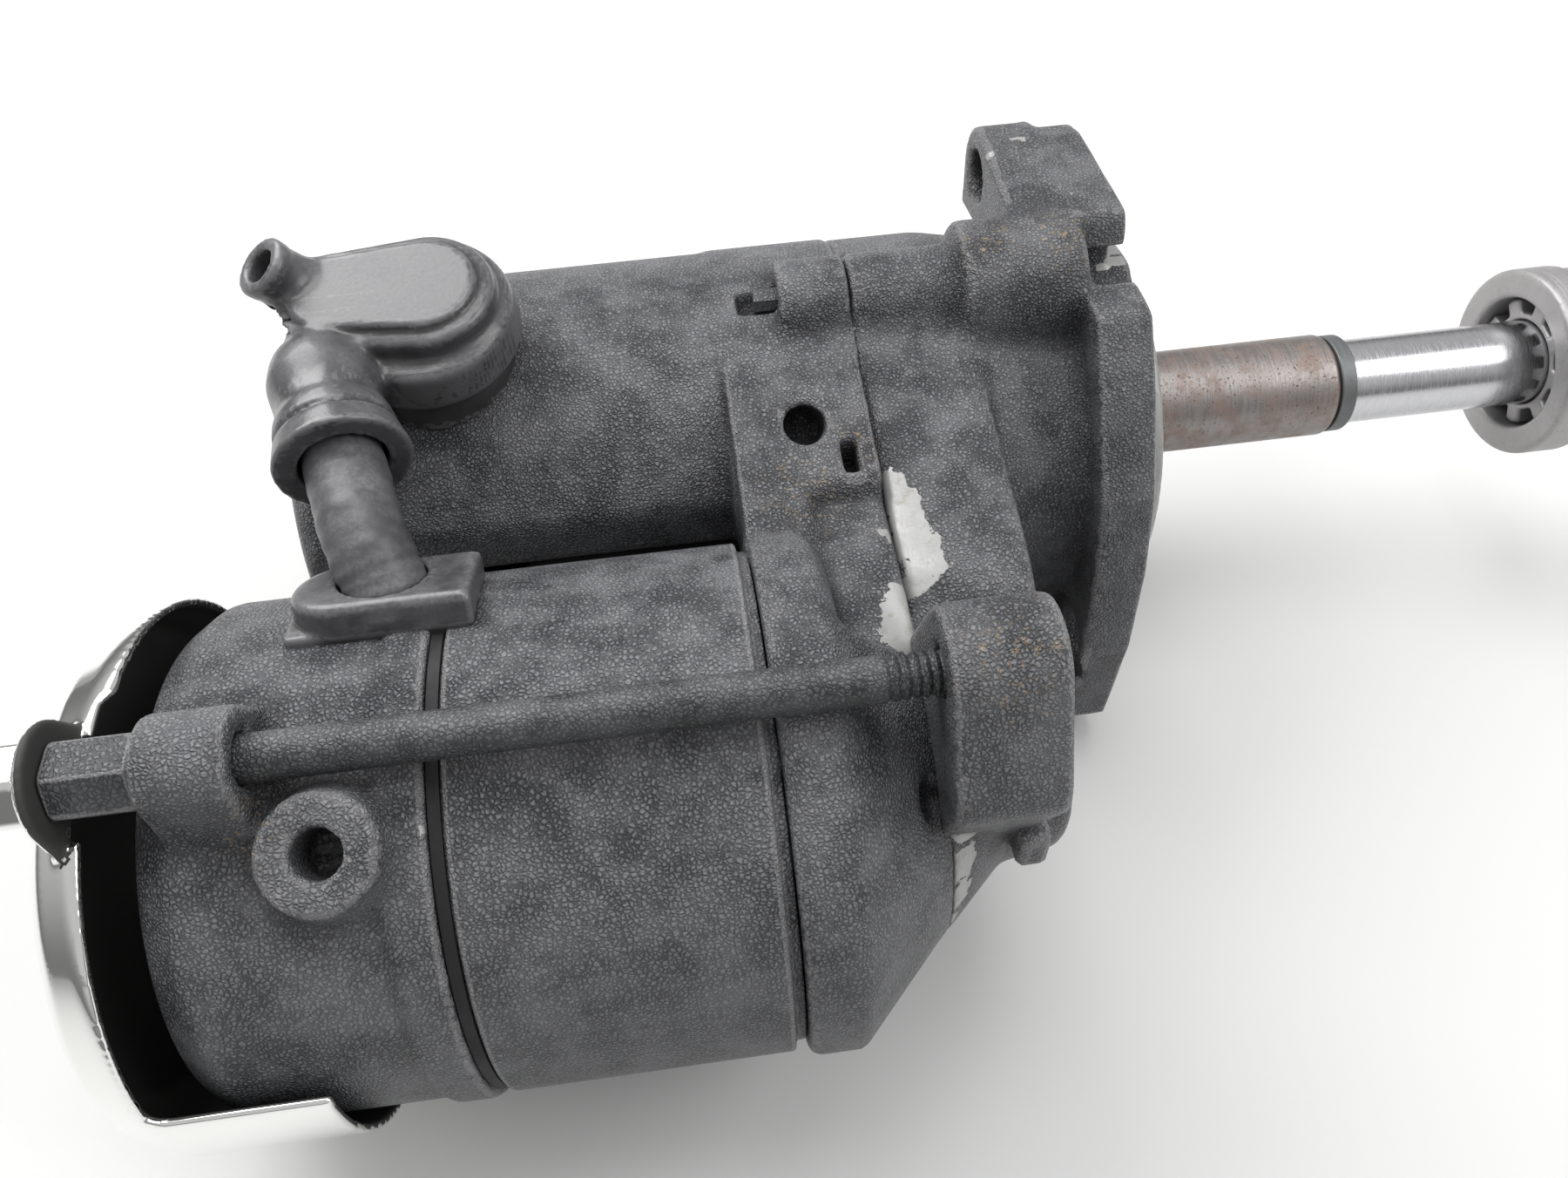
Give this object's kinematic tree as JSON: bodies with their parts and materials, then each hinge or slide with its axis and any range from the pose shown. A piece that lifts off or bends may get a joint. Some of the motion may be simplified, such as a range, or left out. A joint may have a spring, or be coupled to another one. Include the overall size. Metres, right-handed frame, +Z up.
{
  "type": "starter motor",
  "caption": "Gear-reduction starter motor with a coaxial solenoid: black cast housings, chrome end cover, rubber terminal boot, splined drive tube and sliding pinion shaft.",
  "frame": {"origin": "on the output shaft axis, in the plane of the drive flange's mounting face, inside the pilot spigot", "axes": "+X along the output shaft towards the pinion; -Y towards the parallel motor axis; +Z up as the starter lies on both its cylinders"},
  "size_m": [0.2753, 0.1512, 0.1065],
  "materials": {
    "paint": "matte black crackle paint",
    "chrome": "mirror plated",
    "steel": "ground and polished",
    "dark_steel": "dull machined",
    "aluminium": "satin",
    "rubber": "moulded, matte",
    "copper": "copper",
    "plastic": "moulded",
    "carbon": "carbon"
  },
  "bodies": {
    "housing": {"chrome_cover": "chrome", "end_frame": "paint", "yoke": "paint", "rear_joint_seal": "rubber", "gear_housing": "paint", "drive_housing": "paint", "armature_bearing_rear": "steel", "armature_bearing_front": "steel", "brush_holder": "plastic", "idler_pin": "steel", "clutch_bearing_front": "steel", "shaft_seal": "rubber", "solenoid_cover": "paint", "terminal_base": "plastic", "battery_stud": "copper", "battery_nut": "steel", "motor_stud": "copper", "motor_nut": "steel", "solenoid_coil": "copper", "terminal_boot": "rubber", "motor_lead": "rubber", "lead_grommet": "rubber", "through_bolt_1": "paint", "standoff_1": "paint", "cover_nut_1": "aluminium", "through_bolt_2": "paint", "standoff_2": "paint", "cover_nut_2": "aluminium", "housing_screw_1": "paint", "housing_screw_2": "paint", "solenoid_screw_1": "steel", "solenoid_screw_2": "steel", "solenoid_screw_3": "steel", "pole_shoe_1": "dark_steel", "pole_shoe_2": "dark_steel", "pole_shoe_3": "dark_steel", "pole_shoe_4": "dark_steel", "brush_1": "carbon", "brush_2": "carbon", "brush_3": "carbon", "brush_4": "carbon"},
    "armature": {"armature_shaft": "steel", "armature_pinion": "steel", "armature_core": "dark_steel", "commutator": "copper"},
    "idler": {"idler_gear": "steel", "idler_bearing": "dark_steel"},
    "clutch_outer": {"clutch_gear": "steel", "clutch_rollers": "dark_steel"},
    "output": {"output_tube": "dark_steel", "tube_end_ring": "dark_steel", "return_spring": "dark_steel"},
    "pinion_shaft": {"drive_shaft": "steel", "spring_collar": "steel", "spline_hub": "dark_steel", "pinion": "steel", "pinion_nut": "dark_steel"},
    "solenoid_plunger": {"plunger": "steel", "contact_disc": "copper", "steel_ball": "steel"}
  },
  "joints": [
    {"name": "armature_spin", "type": "hinge", "parent": "housing", "child": "armature", "pos_m": [-0.09, -0.072, 0], "axis": [1, 0, 0], "continuous": true},
    {"name": "idler_spin", "type": "hinge", "parent": "housing", "child": "idler", "pos_m": [-0.053, -0.04476, -0.00156], "axis": [1, 0, 0], "continuous": true},
    {"name": "clutch_spin", "type": "hinge", "parent": "housing", "child": "clutch_outer", "pos_m": [-0.05, 0, 0], "axis": [1, 0, 0], "continuous": true},
    {"name": "overrun_spin", "type": "hinge", "parent": "clutch_outer", "child": "output", "pos_m": [0, 0, 0], "axis": [1, 0, 0], "continuous": true},
    {"name": "shaft_slide", "type": "slide", "parent": "output", "child": "pinion_shaft", "axis": [1, 0, 0], "range_m": [0, 0.012], "stiffness_N_per_m": 400, "springref_m": -0.01, "deforming": ["return_spring"]},
    {"name": "plunger_slide", "type": "slide", "parent": "housing", "child": "solenoid_plunger", "axis": [1, 0, 0], "range_m": [0, 0.012]}
  ],
  "couplings": [
    {"joint": "idler_spin", "follows": "armature_spin", "ratio": -0.39286},
    {"joint": "clutch_spin", "follows": "armature_spin", "ratio": 0.30556},
    {"joint": "plunger_slide", "follows": "shaft_slide", "ratio": 1}
  ]
}
